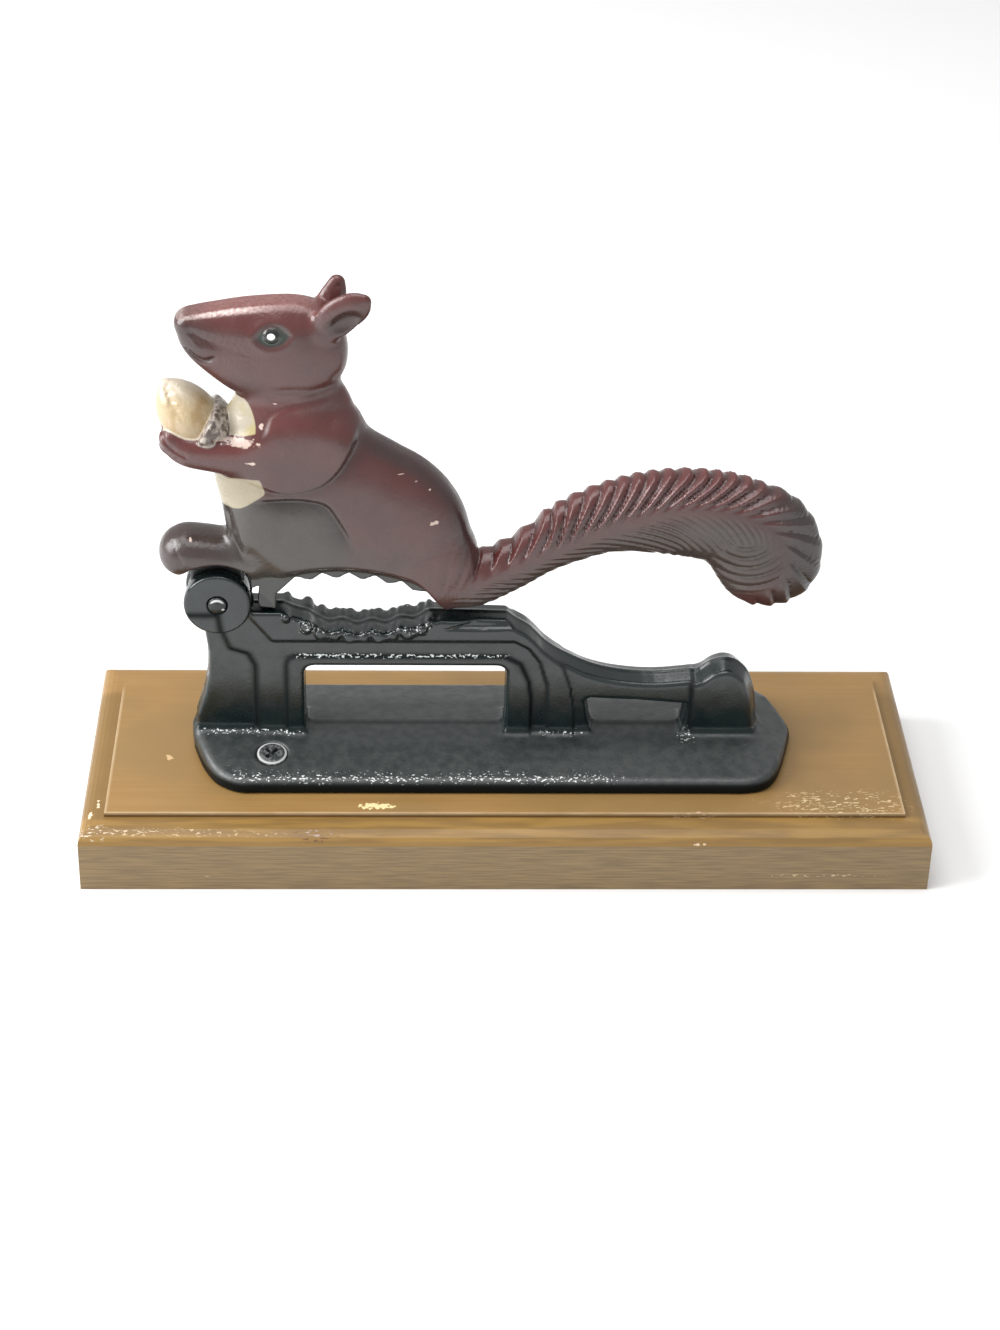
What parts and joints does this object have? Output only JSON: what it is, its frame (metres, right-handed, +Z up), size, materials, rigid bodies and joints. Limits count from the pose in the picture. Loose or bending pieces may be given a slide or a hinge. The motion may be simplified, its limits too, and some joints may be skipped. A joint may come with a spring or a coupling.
{
  "type": "lever nutcracker press",
  "caption": "Squirrel-shaped lever nutcracker: the squirrel's belly is the upper jaw and its tail the handle, hinged on a ridged cast frame on a moulded plinth.",
  "frame": {"origin": "middle of the plinth's underside, on the surface that it stands on", "axes": "+X along the plinth towards the tail, +Y to the squirrel's right, which is the rear of the picture, +Z up"},
  "size_m": [0.28, 0.102, 0.1961],
  "materials": {
    "plinth_paint": "brushed ochre paint, satin, worn along the moulding",
    "frame_enamel": "gloss black enamel on a sand casting",
    "squirrel_enamel": "brown-maroon enamel, semi-gloss, with cream bib and acorn",
    "pin_steel": "blackened, worn",
    "screw_steel": "dull, painted over, rim worn bright"
  },
  "bodies": {
    "base": {"wooden_plinth": "plinth_paint", "anvil_frame": "frame_enamel", "pivot_pin": "pin_steel", "flange_screw_front": "screw_steel", "flange_screw_rear": "screw_steel"},
    "lever": {"squirrel_lever": "squirrel_enamel"}
  },
  "joints": [
    {"name": "lever_pivot", "type": "hinge", "parent": "base", "child": "lever", "pos_m": [-0.09485, 0, 0.0837], "axis": [0, -1, 0], "range_deg": [0, 80]}
  ]
}
